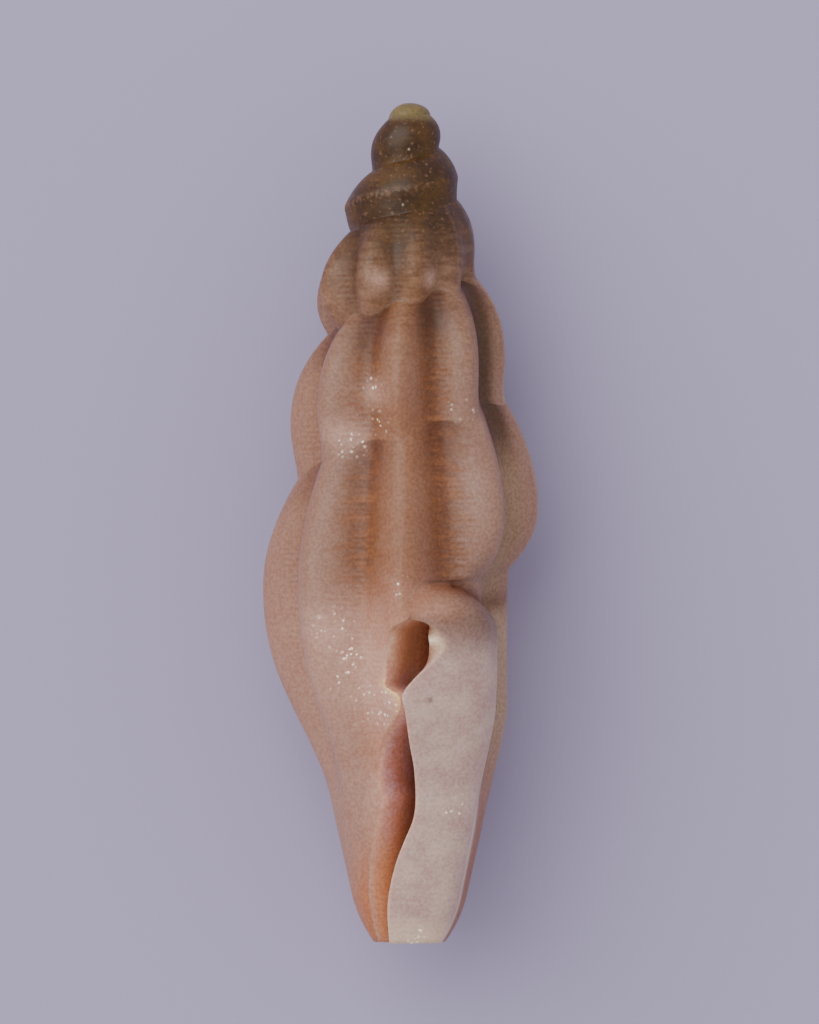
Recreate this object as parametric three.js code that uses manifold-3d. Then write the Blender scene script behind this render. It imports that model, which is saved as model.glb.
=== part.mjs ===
// Shell of the sea snail Ithycythara penelope, lying on the back of its last whorl.
// Millimetres: +Y runs along the shell to the apex, +Z is up, the aperture faces up.

import * as THREE from "three";
import Module from "manifold-3d";

const wasm = await Module();
wasm.setup();

// Size: every proportion below is in hundredths of the length of the shell.
const SHELL_LENGTH = 6.0;
const UNIT = SHELL_LENGTH / 100;
const AXIS_HEIGHT = 14.8;

// Growth: t counts turns round the axis; the front of the shell is at t = -0.25, 0.75, 1.75 ...
const T_FIRST = -1.75;
const T_LIP = 3.75;
const T_BODY = T_LIP - 1;
const WHORL_GROWTH = 1.4;
const SUTURE_SCALE = 21.6;
const SUTURE_SHIFT = -14.9;
const SUTURE_EARLY = 2.0;
const SUTURE_EARLY_END = 0.9;
const SUTURE_EARLY_TURNS = 2.8;
const SUTURE_LATE_TURN = 3.5;
const SUTURE_LATE_LENGTH = 0.08;
const CAP_HEIGHT = 1.5;
const CAP_RADIUS = 2.5;
const CAP_OPENING = 0.2;

// Ribs: eight to a turn on the last whorls, closer on the early ones, wider apart before the lip.
const RIBS_PER_TURN = 8;
const RIB_EASE = 0.45;
const RIB_ZERO = 2.508;
const RIB_LATE = 3.008;
const RIB_LATE_TURNS = [3.008, 3.155, 3.33, 3.489, 3.66];
const T_SIDE_RIB = 3.489;
const RIB_FIRST = 0.45;
const RIB_GROWN = 0.9;
const RIB_DEPTH = 0.22;
const RIB_FADE_START = 70;
const RIB_FADE_END = 88;

// Radii at the suture and at the crests of the ribs, and how they differ round the axis.
const SUTURE_RADIUS = 4.5;
const SUTURE_WIDENING = 2.2;
const SUTURE_FLARE = 0.25;
const CREST_RADIUS = 7.3;
const CREST_WIDENING = 3.3;
const CREST_FLARE = 0.6;
const CREST_LAST = 3;
const GROOVE_DRAWN_FROM = 3.05;
const CREST_DRAWN_FROM = 3.25;
const SIDE_RADIUS = 11.9;
const BACK_FULLNESS = 0.6;
const RIGHT_FLATNESS = 0.5;
const GROOVE_RIBS = 0.17;
const GROOVE_SIDE_RADIUS = 12.0;
const SPIRE_LEAN = 0.9;
const SCALLOP = 0.5;

// Outline of a whorl between its sutures; the last embryonic whorl has a sharp keel.
const WIDEST = 0.63;
const RISE_FULLNESS = 0.9;
const FALL_POWER = 2.1;
const KEEL = 0.57;
const KEEL_FULLNESS = 0.75;
const KEEL_SLOPE = 0.45;
const KEEL_FALL_POWER = 6;
const BLEND_TURNS = 0.12;

// Last whorl: the station of its greatest width, the neck and the end of the canal.
const BODY_PEAK = 57.6;
const BODY_PEAK_DRIFT = 4;
const NECK_STATION = 82.6;
const NECK_RADIUS = 9.5;
const NECK_SLOPE = 0.2227;
const CANAL_STATION = 94.5;
const CANAL_ROUNDING = 1.3;
const END_STATION = 100;

// Lip: a broad flattened swelling with a steep outer side and a deep notch below the suture.
const LIP_START = 3.55;
const LIP_FULL = 3.625;
const LIP_SQUARENESS = 3.6;
const LIP_PROUD = 0.6;
const LIP_NARROWING = 0.94;
const LIP_RISE_LENGTH = 6;
const LIP_SHOULDER = 3.5;
const LIP_ARCH_TOP = 0.3;
const LIP_ARCH_ANGLE = 14;
const LIP_ARCH_WIDTH = 25;
const LIP_ARCH_DROP = 2.3;
const LIP_ARCH_LIMIT = 1.6;
const LIP_THICKNESS = 2.3;
const NOTCH_TOP = 61.3;
const SLIT_TOP = 73;
const KNOB_STATION = 71.0;
const KNOB_SIDE = -2.0;
const KNOB_RADIUS = 1.7;
const KNOB_HEIGHT = 0.45;

// Edge of the lip and edge of the inner lip: station along the shell, sideways place.
const LIP_EDGE = [
  [61.3, 0.1], [61.8, 1.9], [62.9, 3.2], [64.0, 3.95], [65.3, 3.7], [67.1, 1.9], [68.5, 0.4],
  [70.2, -0.8], [72.4, -0.5], [76.0, 0.0], [79.6, 0.6], [84.6, 0.6], [87.4, -0.5], [89.7, -1.4],
  [92.4, -2.15], [95.4, -2.6], [100, -2.4],
];
const INNER_EDGE = [
  [61.3, 0.1], [62.2, -1.8], [64.1, -2.5], [68.3, -2.85], [69.4, -2.85], [70.1, -1.6],
  [70.8, -1.15], [72.0, -1.2], [73.2, -1.8], [75.0, -2.9], [78.4, -3.8], [81.4, -3.8],
  [82.6, -3.3], [84.0, -3.7], [88.0, -4.5], [93.0, -4.9], [97.0, -4.5], [100, -3.8],
];

// Hollow behind the aperture.
const HOLLOW_TOP = 59.4;
const HOLLOW_FAR_TOP = 115;
const HOLLOW_FAR_END = 62;
const HOLLOW_FAR_ROUNDING = 45;
const HOLLOW_CORE = 0.36;
const HOLLOW_EDGE_ANGLE = 0.6;
const HOLLOW_WALL = 1.5;
const HOLLOW_ROOF_ANGLE = 50;
const HOLLOW_ROOF_SHARE = 0.62;
const HOLLOW_ROOF_RING = 0.72;
const NOTCH_THICKNESS = 0.9;
const INNER_STEP = 0.1;
const NARROW_END_RADIUS = 7.5;
const WALL_TURN_NOTCH = 20;
const WALL_TURN_SLIT = 44;

// How finely the surface is cut into facets.
const COLUMNS = 64;
const WHORL_ROWS = [0, 0.1, 0.27, 0.47, 0.66, 0.82, 0.94, 1];
const SEAM_ROWS = 2;
const INNER_ROWS = 22;
const CAP_RINGS = 3;
const HOLLOW_COLUMNS = 20;
const HOLLOW_ROWS = 26;

const clamp = (x, low, high) => Math.min(high, Math.max(low, x));
const lerp = (a, b, f) => a + (b - a) * f;
const radians = (degrees) => (degrees * Math.PI) / 180;
const degrees = (angle) => (angle * 180) / Math.PI;

function smooth(low, high, x) {
  const f = clamp((x - low) / (high - low), 0, 1);
  return f * f * (3 - 2 * f);
}

// A curve through the points of a table, straight between them.
function along(table, x) {
  let k = 0;
  while (k < table.length - 2 && x > table[k + 1][0]) {
    k += 1;
  }
  const [x0, y0] = table[k];
  const [x1, y1] = table[k + 1];
  return lerp(y0, y1, clamp((x - x0) / (x1 - x0), 0, 1));
}

// Angle round the axis, in degrees: 0 in front, positive to the right.
const angleOf = (t) => -360 * (t + 0.25);

// The suture hangs lower under each rib of the whorl above it.
function scallop(t) {
  const above = Math.cos(2 * Math.PI * ribCount(t - 1));
  return SCALLOP * above * smooth(0.9, 1.5, t) * (1 - smooth(3.3, 3.6, t));
}

// Station of the suture along the axis.
function suture(t) {
  const grown = (turn) => SUTURE_SHIFT + SUTURE_SCALE * WHORL_GROWTH ** turn;
  if (t > SUTURE_LATE_TURN) {
    const slope = SUTURE_SCALE * WHORL_GROWTH ** SUTURE_LATE_TURN * Math.log(WHORL_GROWTH);
    const late = 1 - Math.exp((SUTURE_LATE_TURN - t) / SUTURE_LATE_LENGTH);
    return grown(SUTURE_LATE_TURN) + slope * SUTURE_LATE_LENGTH * late + scallop(t);
  }
  const before = Math.max(0, SUTURE_EARLY_END - t) / SUTURE_EARLY_TURNS;
  const early = SUTURE_EARLY * Math.sin(Math.PI * before);
  return grown(t) + early + scallop(t);
}

// Upper edge of the whorl; on the first turn it is the rim of the apical cap.
function whorlTop(t) {
  if (t >= T_FIRST + 1) {
    return suture(t);
  }
  const opening = clamp((t - T_FIRST) / CAP_OPENING, 0, 1) ** 0.7;
  return lerp(suture(T_FIRST + 1), Math.max(CAP_HEIGHT, suture(t)), opening);
}

// Radius at the suture.
function sutureRadius(t) {
  const grown = SUTURE_RADIUS + SUTURE_WIDENING * t + SUTURE_FLARE * t * t;
  const drawnIn = smooth(GROOVE_DRAWN_FROM, T_SIDE_RIB, t) * (grown - GROOVE_SIDE_RADIUS);
  const spaces = ((betweenRibs(t) + betweenRibs(t - 1)) / 2) * smooth(0.6, 1.5, t);
  return Math.max(CAP_RADIUS, (grown - drawnIn) * (1 - GROOVE_RIBS * spaces));
}

// Radius of the whorl at the crest of a rib.
function crestRadius(t) {
  const grown = CREST_RADIUS + CREST_WIDENING * Math.min(t, CREST_LAST);
  if (t < 0) {
    return grown + CREST_FLARE * t * t;
  }
  const drawnIn = smooth(CREST_DRAWN_FROM, T_SIDE_RIB, t) * (grown - SIDE_RADIUS);
  const deeper = BACK_FULLNESS * smooth(1, 2, t) * (1 - Math.cos(radians(angleOf(t)))) / 2;
  const flatter = RIGHT_FLATNESS * smooth(0, 1, t) * (1 + Math.sin(radians(angleOf(t)))) / 2;
  const leaning = SPIRE_LEAN * smooth(-0.2, 0.2, t) * (1 - smooth(1.2, 1.9, t));
  return grown - drawnIn + deeper - flatter - leaning * Math.sin(radians(angleOf(t)));
}

// Count of ribs up to a turn; crests are at whole numbers.
function ribCount(t) {
  const eased = (turn) => turn + RIB_EASE * Math.log(1 - Math.exp(-turn / RIB_EASE));
  if (t > RIB_LATE) {
    return 4 + along(RIB_LATE_TURNS.map((turn, k) => [turn, k]), t);
  }
  return RIBS_PER_TURN * (eased(Math.max(t, 0.05)) - eased(RIB_ZERO));
}

function ribDepth(t, station) {
  const grown = smooth(RIB_FIRST, RIB_GROWN, t) * lerp(0.75, 1, smooth(RIB_GROWN, 2 * RIB_GROWN, t));
  return RIB_DEPTH * grown * (1 - smooth(RIB_FADE_START, RIB_FADE_END, station));
}

// 0 on the crest of a rib, 1 in the middle of a space.
const betweenRibs = (t) => (1 - Math.cos(2 * Math.PI * ribCount(t))) / 2;

const ribbed = (radius, t, station) => radius * (1 - ribDepth(t, station) * betweenRibs(t));

// Swelling of a whorl between two sutures: 0 at both, 1 at the widest place.
function roundSwelling(u) {
  if (u < WIDEST) {
    return Math.sin((Math.PI / 2) * (u / WIDEST)) ** RISE_FULLNESS;
  }
  return 1 - ((u - WIDEST) / (1 - WIDEST)) ** FALL_POWER;
}

// The same for the last embryonic whorl, which has a sharp keel.
function keeledSwelling(u) {
  if (u < KEEL) {
    return (u / KEEL) ** KEEL_FULLNESS;
  }
  const past = (u - KEEL) / (1 - KEEL);
  return 1 - KEEL_SLOPE * past - (1 - KEEL_SLOPE) * past ** KEEL_FALL_POWER;
}

// Radius of the neck that leads into the canal.
function neckRadius(station) {
  const straight = NECK_RADIUS - NECK_SLOPE * (station - NECK_STATION);
  const past = Math.max(0, station - CANAL_STATION) / (END_STATION - CANAL_STATION);
  return straight - CANAL_ROUNDING * past * past;
}

// Radius of the last whorl, from its suture to the end of the canal.
function bodyRadius(t, station) {
  const crest = crestRadius(t);
  const top = suture(t);
  const peak = BODY_PEAK + BODY_PEAK_DRIFT * (t - 3);
  let radius;
  if (station < peak) {
    const rise = Math.sin((Math.PI / 2) * clamp((station - top) / (peak - top), 0, 1));
    radius = lerp(sutureRadius(t), ribbed(crest, t, station), rise ** RISE_FULLNESS);
  } else {
    const fall = clamp((station - peak) / (NECK_STATION - peak), 0, 1);
    const full = lerp(neckRadius(station), crest, (1 + Math.cos(Math.PI * fall)) / 2);
    radius = ribbed(Math.min(crest, full), t, station);
  }
  return radius;
}

// Small swelling of callus on the inner lip, just below the notch.
function knob(t, station) {
  const side = neckRadius(station) * Math.sin(radians(angleOf(t))) - KNOB_SIDE;
  const away = Math.hypot(side, station - KNOB_STATION) / KNOB_RADIUS;
  return t < T_BODY + 0.25 ? KNOB_HEIGHT * Math.exp(-away * away) : 0;
}

// Radius of the lip: a squared-off oval between its side and its front.
function lipRadius(t, station) {
  const angle = radians(angleOf(t));
  const side = LIP_NARROWING * bodyRadius(T_SIDE_RIB, station);
  const front = bodyRadius(T_BODY, station) + LIP_PROUD * smooth(NOTCH_TOP, NOTCH_TOP + LIP_RISE_LENGTH, station);
  const across = Math.abs(Math.sin(angle) / side) ** LIP_SQUARENESS;
  const up = Math.abs(Math.cos(angle) / front) ** LIP_SQUARENESS;
  return (across + up) ** (-1 / LIP_SQUARENESS);
}

// Radius at the suture of the last turn, where the groove fades out towards the lip.
function lateSutureRadius(t) {
  return lerp(sutureRadius(t), bodyRadius(t - 1, suture(t)), smooth(T_LIP - BLEND_TURNS, T_LIP, t));
}

// Outer radius of a whorl that has another whorl below it.
function spireRadius(t, u) {
  const top = whorlTop(t);
  const station = lerp(top, suture(t + 1), u);
  const below = t + 1 > 3 ? lateSutureRadius(t + 1) : sutureRadius(t + 1);
  const keeled = smooth(-0.75, -0.45, t) * (1 - smooth(0.25, 0.6, t));
  const swelling = lerp(roundSwelling(u), keeledSwelling(u), keeled);
  const groove = lerp(sutureRadius(t), below, u);
  const whorl = lerp(groove, ribbed(crestRadius(t), t, station), swelling);
  return lerp(whorl, bodyRadius(t, station), smooth(T_BODY - BLEND_TURNS, T_BODY, t));
}

// Station at which the lip starts to swell below the suture.
function lipArch(t) {
  const off = (360 * (T_LIP - t) - LIP_ARCH_ANGLE) / LIP_ARCH_WIDTH;
  return suture(t) + LIP_ARCH_TOP + LIP_ARCH_DROP * Math.min(off * off, LIP_ARCH_LIMIT);
}

// Outer radius of the last turn, lip included.
function lastRadius(t, station) {
  const body = bodyRadius(t, station) + knob(t, station);
  const rise = clamp((station - lipArch(Math.min(t, T_LIP))) / LIP_SHOULDER, 0, 1);
  const shoulder = Math.sqrt(1 - (1 - rise) ** 2);
  const groove = lateSutureRadius(Math.min(t, T_LIP));
  const lip = lerp(groove, lipRadius(t, station), shoulder);
  return lerp(body, lip, smooth(LIP_START, LIP_FULL, t));
}

// Turn of an edge point that lies a given distance to the side.
function turnOfEdge(side, station, start) {
  let t = start;
  for (let step = 0; step < 12; step += 1) {
    const radius = lastRadius(t, station);
    t = start - degrees(Math.asin(clamp(side / radius, -0.99, 0.99))) / 360;
  }
  return t;
}

// Mesh under construction.
const points = [];
const faces = [];

function addPoint(t, radius, station) {
  const angle = radians(angleOf(t));
  points.push([
    UNIT * radius * Math.sin(angle),
    SHELL_LENGTH / 2 - UNIT * station,
    UNIT * (AXIS_HEIGHT + radius * Math.cos(angle)),
  ]);
  return points.length - 1;
}

function addFace(a, b, c) {
  if (a !== b && b !== c && c !== a) {
    faces.push([a, b, c]);
  }
}

const distance = (a, b) => Math.hypot(...points[a].map((value, k) => value - points[b][k]));

// Quads between two neighbouring columns of points, split along the shorter diagonal.
function addStrip(left, right) {
  for (let i = 0; i + 1 < Math.min(left.length, right.length); i += 1) {
    if (distance(left[i], right[i + 1]) < distance(right[i], left[i + 1])) {
      addFace(left[i], right[i], right[i + 1]);
      addFace(left[i], right[i + 1], left[i + 1]);
    } else {
      addFace(left[i], right[i], left[i + 1]);
      addFace(right[i], right[i + 1], left[i + 1]);
    }
  }
}

// Triangles between two lines of points that may differ in number.
function zip(first, second) {
  let i = 0;
  let j = 0;
  while (i + 1 < first.length || j + 1 < second.length) {
    const stepFirst = i + 1 < first.length ? distance(first[i + 1], second[j]) : Infinity;
    const stepSecond = j + 1 < second.length ? distance(first[i], second[j + 1]) : Infinity;
    if (stepFirst <= stepSecond) {
      addFace(first[i], second[j], first[i + 1]);
      i += 1;
    } else {
      addFace(first[i], second[j], second[j + 1]);
      j += 1;
    }
  }
}

// Stations of the rows of the last turn, at its first column and at its last.
function stationsBelowSeam(count) {
  const stations = [];
  const dense = Math.round(count * 0.4);
  for (let i = 1; i <= dense; i += 1) {
    stations.push(lerp(NOTCH_TOP, SLIT_TOP, i / dense));
  }
  for (let i = 1; i <= count - dense; i += 1) {
    stations.push(lerp(SLIT_TOP, END_STATION, i / (count - dense)));
  }
  return stations;
}

const seamStations = [];
for (let i = 0; i <= SEAM_ROWS; i += 1) {
  seamStations.push(lerp(suture(T_LIP), NOTCH_TOP, i / SEAM_ROWS));
}
const whorlRows = WHORL_ROWS.length - 1;
const firstStations = WHORL_ROWS.slice(0, -1).map((u) => lerp(suture(T_BODY), suture(T_LIP), u));
firstStations.push(...seamStations, ...stationsBelowSeam(INNER_ROWS));
const lastStations = [...seamStations, ...stationsBelowSeam(INNER_ROWS + whorlRows)];

// Last turn: from the inner lip round the back to the edge of the lip.
function lastColumn(j) {
  const share = j / COLUMNS;
  const even = T_BODY + share;
  const column = [];
  for (let i = 0; i < firstStations.length; i += 1) {
    const fromFirst = (firstStations[i] - suture(T_BODY)) / (END_STATION - suture(T_BODY));
    const fromLast = (lastStations[i] - suture(T_LIP)) / (END_STATION - suture(T_LIP));
    const station = lerp(suture(even), END_STATION, lerp(fromFirst, fromLast, share));
    let t = even;
    if (station > NOTCH_TOP) {
      const inner = turnOfEdge(along(INNER_EDGE, station), station, T_BODY) - T_BODY;
      const outer = turnOfEdge(along(LIP_EDGE, station), station, T_LIP) - T_LIP;
      t += inner * (1 - share) ** 4 + outer * share ** 4;
    }
    const radius = i === 0 ? lateSutureRadius(even) : lastRadius(t, station);
    column.push(addPoint(t, radius, station));
  }
  return column;
}

const spireColumns = Math.round((T_BODY - T_FIRST) * COLUMNS);
const columns = [];
for (let j = COLUMNS; j > 0; j -= 1) {
  columns[spireColumns + j] = lastColumn(j);
}
const lipColumn = columns[spireColumns + COLUMNS];
const innerColumn = lastColumn(0);
for (let i = 0; i <= SEAM_ROWS; i += 1) {
  innerColumn[whorlRows + i] = lipColumn[i];
}
columns[spireColumns] = innerColumn;

// Spire: each whorl hangs on the suture of the whorl below it.
for (let j = spireColumns - 1; j >= 0; j -= 1) {
  const t = T_FIRST + j / COLUMNS;
  const below = columns[j + COLUMNS][0];
  columns[j] = WHORL_ROWS.map((u) => {
    if (u === 1 || j === 0) {
      return below;
    }
    return addPoint(t, spireRadius(t, u), lerp(whorlTop(t), suture(t + 1), u));
  });
}
for (let j = 0; j < spireColumns; j += 1) {
  addStrip(columns[j].slice(0, whorlRows + 1), columns[j + 1].slice(0, whorlRows + 1));
}
for (let j = spireColumns; j < spireColumns + COLUMNS; j += 1) {
  addStrip(columns[j], columns[j + 1]);
}

// Apical cap: a dome on the rim of the first whorl.
const pole = addPoint(0, 0, 0);
const capColumns = [];
for (let j = 0; j < COLUMNS; j += 1) {
  const t = T_FIRST + j / COLUMNS;
  const column = [pole];
  for (let ring = 1; ring < CAP_RINGS; ring += 1) {
    const lift = ((Math.PI / 2) * ring) / CAP_RINGS;
    const radius = sutureRadius(t) * Math.sin(lift);
    column.push(addPoint(t, radius, whorlTop(t) * (1 - Math.cos(lift))));
  }
  column.push(columns[j][0]);
  capColumns.push(column);
}
for (let j = 0; j < COLUMNS; j += 1) {
  addStrip(capColumns[j], capColumns[(j + 1) % COLUMNS]);
}

// Hollow: from the edge of the lip along its under side, and back along the inner wall.
function hollowLoop(station) {
  const open = smooth(NOTCH_TOP, NOTCH_TOP + 3, station);
  const lipTurn = turnOfEdge(along(LIP_EDGE, station), station, T_LIP);
  const innerTurn = turnOfEdge(along(INNER_EDGE, station), station, T_BODY);
  const lipAngle = angleOf(lipTurn) + 360 * 4;
  const innerAngle = angleOf(innerTurn) + 360 * 3;
  const narrow = Math.min(1, lastRadius(lipTurn, station) / NARROW_END_RADIUS);
  const thickness = lerp(NOTCH_THICKNESS, LIP_THICKNESS, open) * narrow;
  const far = lerp(HOLLOW_FAR_TOP, HOLLOW_FAR_END, smooth(NOTCH_TOP, END_STATION, station));
  const core = HOLLOW_CORE * bodyRadius(T_BODY, station);
  const wallTurn = lerp(WALL_TURN_NOTCH, WALL_TURN_SLIT, smooth(SLIT_TOP - 5, SLIT_TOP, station));
  const start = lastRadius(innerTurn, station) - lerp(NOTCH_THICKNESS, INNER_STEP, open);
  const outerWall = (angle) => {
    const out = lastRadius(T_LIP - angle / 360, station);
    const thin = smooth(lipAngle + 10, lipAngle + 60, angle);
    return out - lerp(thickness, Math.min(HOLLOW_WALL, thickness), thin);
  };
  const loop = [];
  const half = HOLLOW_COLUMNS / 2;
  for (let k = 0; k <= HOLLOW_COLUMNS; k += 1) {
    const back = k > half;
    const share = back ? (HOLLOW_COLUMNS - k) / half : k / half;
    const from = (back ? innerAngle : lipAngle) + HOLLOW_EDGE_ANGLE;
    const angle = lerp(from, far, share ** 1.4);
    let radius = outerWall(angle);
    if (back) {
      const inner = lerp(start, core, smooth(innerAngle, innerAngle + wallTurn, angle));
      radius = lerp(inner, outerWall(far), smooth(far - HOLLOW_FAR_ROUNDING, far, angle));
    }
    loop.push([T_LIP - angle / 360, radius]);
  }
  return loop;
}

const hollowStations = [NOTCH_TOP, ...stationsBelowSeam(HOLLOW_ROWS)];
const hollowRows = hollowStations.map((station, row) => {
  const loop = hollowLoop(station);
  const ids = loop.map(([t, radius]) => addPoint(t, radius, station));
  if (row === 0) {
    ids[HOLLOW_COLUMNS] = ids[0];
  }
  return ids;
});
const roofLoop = hollowLoop(NOTCH_TOP);
const roofTurn = T_LIP - HOLLOW_ROOF_ANGLE / 360;
const roofRadius = HOLLOW_ROOF_SHARE * bodyRadius(T_BODY, NOTCH_TOP);
const roofPole = addPoint(roofTurn, roofRadius, HOLLOW_TOP);
const roofRow = roofLoop.map(([t, radius], k) => {
  if (k === HOLLOW_COLUMNS) {
    return -1;
  }
  const share = HOLLOW_ROOF_RING;
  const station = lerp(NOTCH_TOP, HOLLOW_TOP, Math.sqrt(1 - share * share));
  return addPoint(lerp(roofTurn, t, share), lerp(roofRadius, radius, share), station);
});
roofRow[HOLLOW_COLUMNS] = roofRow[0];
const allRows = [roofLoop.map(() => roofPole), roofRow, ...hollowRows];
for (let k = 0; k < HOLLOW_COLUMNS; k += 1) {
  addStrip(allRows.map((row) => row[k]), allRows.map((row) => row[k + 1]));
}

// The edge of the lip, the edge of the inner lip and the open end of the canal.
zip(lipColumn.slice(SEAM_ROWS), hollowRows.map((row) => row[0]));
zip(hollowRows.map((row) => row[HOLLOW_COLUMNS]), innerColumn.slice(whorlRows + SEAM_ROWS));
const canalEnd = [];
for (let j = 0; j <= COLUMNS; j += 1) {
  canalEnd.push(columns[spireColumns + j][firstStations.length - 1]);
}
zip([...hollowRows[hollowRows.length - 1]].reverse(), canalEnd);

// The ribs on the back are worn flat where the shell rests on them.
const solid = new wasm.Manifold(
  new wasm.Mesh({
    numProp: 3,
    vertProperties: new Float32Array(points.flat()),
    triVerts: new Uint32Array(faces.flat()),
  }),
);
const resting = solid.trimByPlane([0, 0, 1], 0);
const cut = resting.getMesh();

const geometry = new THREE.BufferGeometry();
geometry.setAttribute("position", new THREE.Float32BufferAttribute(cut.vertProperties, 3));
geometry.setIndex(Array.from(cut.triVerts));
geometry.computeVertexNormals();

const shellMaterial = new THREE.MeshStandardMaterial({
  color: 0xb49c8e,
  roughness: 0.42,
  metalness: 0,
});
const shell = new THREE.Mesh(geometry, shellMaterial);
shell.name = "shell";

const group = new THREE.Group();
group.name = "ithycythara_penelope";
group.add(shell);

export default group;
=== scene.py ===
"""Shell of the sea snail Ithycythara penelope, lying on its back with the aperture up.

Metres. +Y runs along the shell to the apex, +Z is up, +X is the side of the outer lip.
Every proportion of the shell is in hundredths of its length.
"""
import math

import bpy
import numpy as np
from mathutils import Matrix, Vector


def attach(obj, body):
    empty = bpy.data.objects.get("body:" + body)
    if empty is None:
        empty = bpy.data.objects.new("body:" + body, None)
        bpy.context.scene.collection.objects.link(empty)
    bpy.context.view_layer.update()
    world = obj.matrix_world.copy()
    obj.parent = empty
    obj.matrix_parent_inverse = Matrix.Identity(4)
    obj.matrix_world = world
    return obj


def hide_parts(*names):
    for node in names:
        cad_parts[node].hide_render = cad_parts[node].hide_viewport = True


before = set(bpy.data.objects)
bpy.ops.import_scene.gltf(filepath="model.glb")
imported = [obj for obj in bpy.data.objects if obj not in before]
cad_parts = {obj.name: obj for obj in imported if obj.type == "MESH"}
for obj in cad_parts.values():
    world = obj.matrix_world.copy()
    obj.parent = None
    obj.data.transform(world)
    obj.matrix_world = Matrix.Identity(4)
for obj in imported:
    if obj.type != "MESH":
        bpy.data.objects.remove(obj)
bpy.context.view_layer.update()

SHELL_LENGTH = 0.006
UNIT = SHELL_LENGTH / 100
AXIS_HEIGHT = 14.8

# Growth: t counts turns round the axis; the front is at t = -0.25, 0.75, 1.75 and so on.
T_FIRST = -1.75
T_LIP = 3.75
T_BODY = T_LIP - 1
WHORL_GROWTH = 1.4
SUTURE_SCALE = 21.6
SUTURE_SHIFT = -14.9
SUTURE_EARLY = 2.0
SUTURE_EARLY_END = 0.9
SUTURE_EARLY_TURNS = 2.8
SUTURE_LATE_TURN = 3.5
SUTURE_LATE_LENGTH = 0.08
CAP_HEIGHT = 1.5
CAP_RADIUS = 2.5
CAP_OPENING = 0.2
CAP_OPENING_POWER = 0.7

# Ribs: eight to a turn on the last whorls, closer on the early ones, wider apart before the lip.
RIBS_PER_TURN = 8
RIB_EASE = 0.45
RIB_EARLIEST = 0.05
RIB_ZERO = 2.508
RIB_LATE = 3.008
RIB_LATE_TURNS = [3.008, 3.155, 3.33, 3.489, 3.66]
T_SIDE_RIB = 3.489
RIB_FIRST = 0.45
RIB_GROWN = 0.9
RIB_EARLY_STRENGTH = 0.75
RIB_DEPTH = 0.22
RIB_FADE_START = 70
RIB_FADE_END = 88

# Radii at the suture and at the crests of the ribs, and how they differ round the axis.
SUTURE_RADIUS = 4.5
SUTURE_WIDENING = 2.2
SUTURE_FLARE = 0.25
CREST_RADIUS = 7.3
CREST_WIDENING = 3.3
CREST_FLARE = 0.6
CREST_LAST = 3
GROOVE_DRAWN_FROM = 3.05
CREST_DRAWN_FROM = 3.25
SIDE_RADIUS = 11.9
BACK_FULLNESS = 0.6
RIGHT_FLATNESS = 0.5
GROOVE_RIBS = 0.17
GROOVE_SIDE_RADIUS = 12.0
SPIRE_LEAN = 0.9
SCALLOP = 0.5

# Turns over which a form comes in, or goes out again.
BACK_FULLNESS_START = (1, 2)
RIGHT_FLATNESS_START = (0, 1)
GROOVE_RIBS_START = (0.6, 1.5)
LEAN_START = (-0.2, 0.2)
LEAN_END = (1.2, 1.9)
SCALLOP_START = (0.9, 1.5)
SCALLOP_END = (3.3, 3.6)
KEEL_START = (-0.75, -0.45)
KEEL_END = (0.25, 0.6)

# Outline of a whorl between its sutures; the last embryonic whorl has a sharp keel.
WIDEST = 0.63
RISE_FULLNESS = 0.9
FALL_POWER = 2.1
KEEL = 0.57
KEEL_FULLNESS = 0.75
KEEL_SLOPE = 0.45
KEEL_FALL_POWER = 6
BLEND_TURNS = 0.12

# Last whorl: the station of its greatest width, the neck and the end of the canal.
BODY_PEAK = 57.6
BODY_PEAK_DRIFT = 4
NECK_STATION = 82.6
NECK_RADIUS = 9.5
NECK_SLOPE = 0.2227
CANAL_STATION = 94.5
CANAL_ROUNDING = 1.3
END_STATION = 100

# Lip: a broad flattened swelling with a steep outer side and a deep notch below the suture.
LIP_START = 3.55
LIP_FULL = 3.625
LIP_SQUARENESS = 3.6
LIP_PROUD = 0.6
LIP_NARROWING = 0.94
LIP_RISE_LENGTH = 6
LIP_SHOULDER = 3.5
LIP_ARCH_TOP = 0.3
LIP_ARCH_ANGLE = 14
LIP_ARCH_WIDTH = 25
LIP_ARCH_DROP = 2.3
LIP_ARCH_LIMIT = 1.6
LIP_THICKNESS = 2.3
NOTCH_TOP = 61.3
SLIT_TOP = 73
KNOB_STATION = 71.0
KNOB_SIDE = -2.0
KNOB_RADIUS = 1.7
KNOB_HEIGHT = 0.45
KNOB_TURNS = 0.25

# Edge of the lip and edge of the inner lip: station along the shell, sideways place.
LIP_EDGE = [
    (61.3, 0.1), (61.8, 1.9), (62.9, 3.2), (64.0, 3.95), (65.3, 3.7), (67.1, 1.9), (68.5, 0.4),
    (70.2, -0.8), (72.4, -0.5), (76.0, 0.0), (79.6, 0.6), (84.6, 0.6), (87.4, -0.5), (89.7, -1.4),
    (92.4, -2.15), (95.4, -2.6), (100, -2.4),
]
INNER_EDGE = [
    (61.3, 0.1), (62.2, -1.8), (64.1, -2.5), (68.3, -2.85), (69.4, -2.85), (70.1, -1.6),
    (70.8, -1.15), (72.0, -1.2), (73.2, -1.8), (75.0, -2.9), (78.4, -3.8), (81.4, -3.8),
    (82.6, -3.3), (84.0, -3.7), (88.0, -4.5), (93.0, -4.9), (97.0, -4.5), (100, -3.8),
]

# Rounded part of the notch: the stations over which it comes in, and goes out again.
NOTCH_ROUND_START = (61.6, 63.9)
NOTCH_ROUND_END = (64.6, 67.4)

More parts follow.
